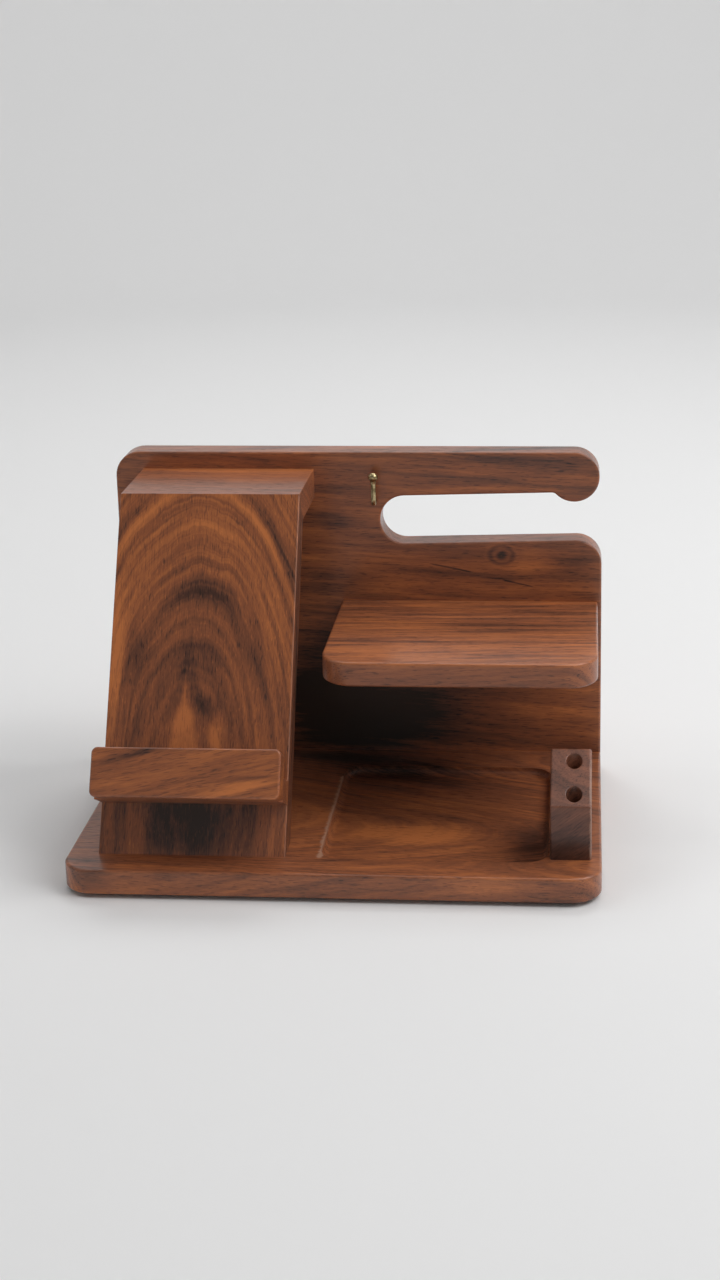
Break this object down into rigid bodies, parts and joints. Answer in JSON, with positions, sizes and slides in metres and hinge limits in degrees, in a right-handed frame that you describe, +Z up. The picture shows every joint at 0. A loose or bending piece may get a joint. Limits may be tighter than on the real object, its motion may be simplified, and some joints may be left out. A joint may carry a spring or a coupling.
{
  "type": "desk valet stand",
  "caption": "Wooden valet stand: base with coin tray, leaning phone rest with lipped ledge, back panel with watch arm, wallet shelf, pen block and brass key hook.",
  "frame": {"origin": "on the floor, under the middle of the base board's footprint", "axes": "+X to the right seen from the front, +Y towards the back panel, +Z up"},
  "size_m": [0.26, 0.176, 0.1825],
  "materials": {
    "rosewood": "satin-gloss lacquered rosewood, red-brown with dark grey-brown figure",
    "brass": "antique brass, polished",
    "zinc_steel": "bright zinc-plated wood screws",
    "beech": "plain fluted beech dowel, unfinished",
    "felt": "dark brown felt"
  },
  "bodies": {
    "root": {"base_board": "rosewood", "back_panel": "rosewood", "phone_board": "rosewood", "bridge_board": "rosewood", "ledge_floor": "rosewood", "ledge_lip": "rosewood", "wallet_shelf": "rosewood", "pen_block": "rosewood", "screw_plugs": "rosewood", "key_hook": "brass", "foot_pads": "felt", "panel_screws": "zinc_steel", "phone_board_screws": "zinc_steel", "pen_block_screw": "zinc_steel", "shelf_screws": "zinc_steel", "ledge_screws": "zinc_steel", "panel_dowels": "beech", "shelf_dowels": "beech", "bridge_dowels": "beech", "mitre_dowels": "beech", "lip_dowels": "beech"}
  },
  "joints": []
}
